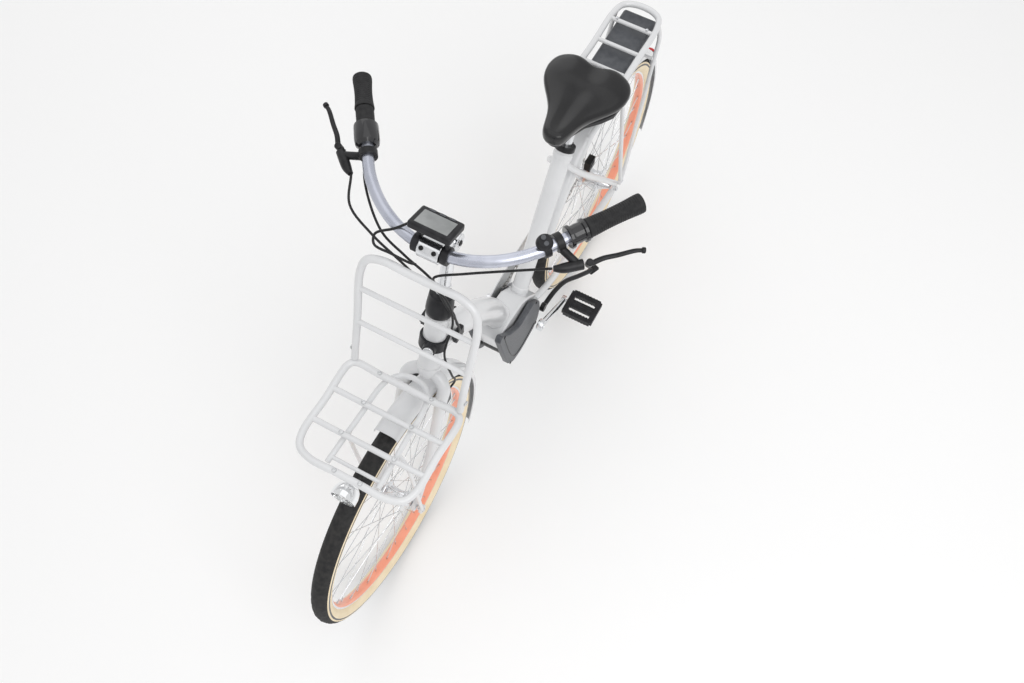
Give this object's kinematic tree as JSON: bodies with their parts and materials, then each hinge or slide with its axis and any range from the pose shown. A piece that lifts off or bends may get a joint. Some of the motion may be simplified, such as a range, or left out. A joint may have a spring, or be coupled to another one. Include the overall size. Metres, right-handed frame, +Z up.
{
  "type": "step-through electric city bicycle",
  "caption": "Step-through electric city bicycle with swept handlebar, front and rear carriers, mid motor, sliding rear battery and padded saddle.",
  "frame": {"origin": "middle of the bicycle's footprint, on the ground", "axes": "+X forwards, +Y to the rider's left, +Z up"},
  "size_m": [1.831, 0.6754, 1.1541],
  "materials": {
    "white_paint": "gloss",
    "slate_plastic": "satin",
    "black_plastic": "satin",
    "black_metal": "satin",
    "silver_metal": "polished",
    "black_rubber": "matte",
    "saddle_vinyl": "satin",
    "tyre_rubber": "matte",
    "coral_rim": "satin",
    "lamp_glass": "clear",
    "red_lens": "gloss"
  },
  "bodies": {
    "frame": {"main_frame": "white_paint", "left_chainstay": "white_paint", "right_chainstay": "white_paint", "left_seatstay": "white_paint", "right_seatstay": "white_paint", "seat_clamp": "black_plastic", "cable_port": "black_plastic", "head_clamp": "black_plastic", "motor_housing": "slate_plastic", "motor_cover_left": "slate_plastic", "motor_cover_right": "slate_plastic", "chain": "silver_metal", "chain_guard": "white_paint", "rear_mudguard": "white_paint", "rear_rack": "white_paint", "tail_lamp": "red_lens", "rear_brake_left": "black_metal", "rear_brake_right": "black_metal"},
    "battery": {"battery": "slate_plastic"},
    "seatpost": {"seatpost": "silver_metal", "saddle_base": "black_plastic", "saddle_cushion": "saddle_vinyl"},
    "kickstand": {"kickstand": "black_metal"},
    "crankset": {"crank_left": "silver_metal", "crank_right": "silver_metal"},
    "pedal_left": {"pedal_left": "black_metal"},
    "pedal_right": {"pedal_right": "black_metal"},
    "rear_wheel": {"rear_tyre": "tyre_rubber", "rear_rim": "coral_rim", "rear_hub_spokes": "silver_metal"},
    "steering": {"fork": "white_paint", "headset_cover": "black_plastic", "stem": "silver_metal", "handlebar": "silver_metal", "display": "black_plastic", "remote_control": "black_plastic", "brake_body_left": "black_metal", "brake_body_right": "black_metal", "grip_left": "black_rubber", "grip_right": "black_rubber", "shifter_housing": "black_plastic", "front_rack_platform": "white_paint", "front_rack_back": "white_paint", "rack_support": "white_paint", "headlamp": "silver_metal", "headlamp_lens": "lamp_glass", "front_mudguard": "white_paint", "front_brake_left": "black_metal", "front_brake_right": "black_metal", "front_brake_hose": "black_rubber", "rear_brake_hose": "black_rubber", "control_cables": "black_rubber"},
    "front_wheel": {"front_tyre": "tyre_rubber", "front_rim": "coral_rim", "front_hub_spokes": "silver_metal"},
    "brake_lever_left": {"brake_lever_left": "black_metal"},
    "brake_lever_right": {"brake_lever_right": "black_metal"},
    "shift_sleeve": {"shift_sleeve": "black_rubber"},
    "bell_ring": {"bell_ring": "black_plastic"}
  },
  "joints": [
    {"name": "steering", "type": "hinge", "parent": "frame", "child": "steering", "pos_m": [0.33293, 0, 0.79908], "axis": [-0.3584, 0, 0.9336], "range_deg": [-60, 60], "deforming": ["rear_brake_hose", "control_cables"]},
    {"name": "front_wheel_spin", "type": "hinge", "parent": "steering", "child": "front_wheel", "pos_m": [0.56346, 0, 0.352], "axis": [0, 1, 0], "continuous": true},
    {"name": "rear_wheel_spin", "type": "hinge", "parent": "frame", "child": "rear_wheel", "pos_m": [-0.54654, 0, 0.352], "axis": [0, 1, 0], "continuous": true},
    {"name": "crank_spin", "type": "hinge", "parent": "frame", "child": "crankset", "pos_m": [-0.07154, 0, 0.295], "axis": [0, 1, 0], "continuous": true},
    {"name": "pedal_left_spin", "type": "hinge", "parent": "crankset", "child": "pedal_left", "pos_m": [-0.22164, 0.148, 0.21519], "axis": [0, 1, 0], "continuous": true},
    {"name": "pedal_right_spin", "type": "hinge", "parent": "crankset", "child": "pedal_right", "pos_m": [0.07856, -0.148, 0.37481], "axis": [0, 1, 0], "continuous": true},
    {"name": "kickstand_fold", "type": "hinge", "parent": "frame", "child": "kickstand", "pos_m": [-0.14154, 0.055, 0.266], "axis": [0, -1, 0], "range_deg": [0, 74]},
    {"name": "saddle_height", "type": "slide", "parent": "frame", "child": "seatpost", "axis": [-0.4924, 0, 0.8704], "range_m": [0, 0.09]},
    {"name": "battery_slide", "type": "slide", "parent": "frame", "child": "battery", "axis": [-1, 0, 0], "range_m": [0, 0.34]},
    {"name": "left_brake", "type": "hinge", "parent": "steering", "child": "brake_lever_left", "pos_m": [0.20696, 0.26082, 1.09657], "axis": [0.2572, 0.2222, 0.9405], "range_deg": [0, 18], "stiffness_Nm_per_rad": 1.5},
    {"name": "right_brake", "type": "hinge", "parent": "steering", "child": "brake_lever_right", "pos_m": [0.20696, -0.26082, 1.09657], "axis": [-0.2572, 0.2222, -0.9405], "range_deg": [0, 18], "stiffness_Nm_per_rad": 1.5},
    {"name": "gear_twist", "type": "hinge", "parent": "steering", "child": "shift_sleeve", "pos_m": [0.1392, -0.24232, 1.11947], "axis": [0.8184, 0.5677, -0.0896], "range_deg": [-60, 60]},
    {"name": "bell_twist", "type": "hinge", "parent": "steering", "child": "bell_ring", "pos_m": [0.17275, 0.21904, 1.1158], "axis": [0.8184, -0.5677, -0.0896], "range_deg": [0, 25], "stiffness_Nm_per_rad": 0.2}
  ]
}
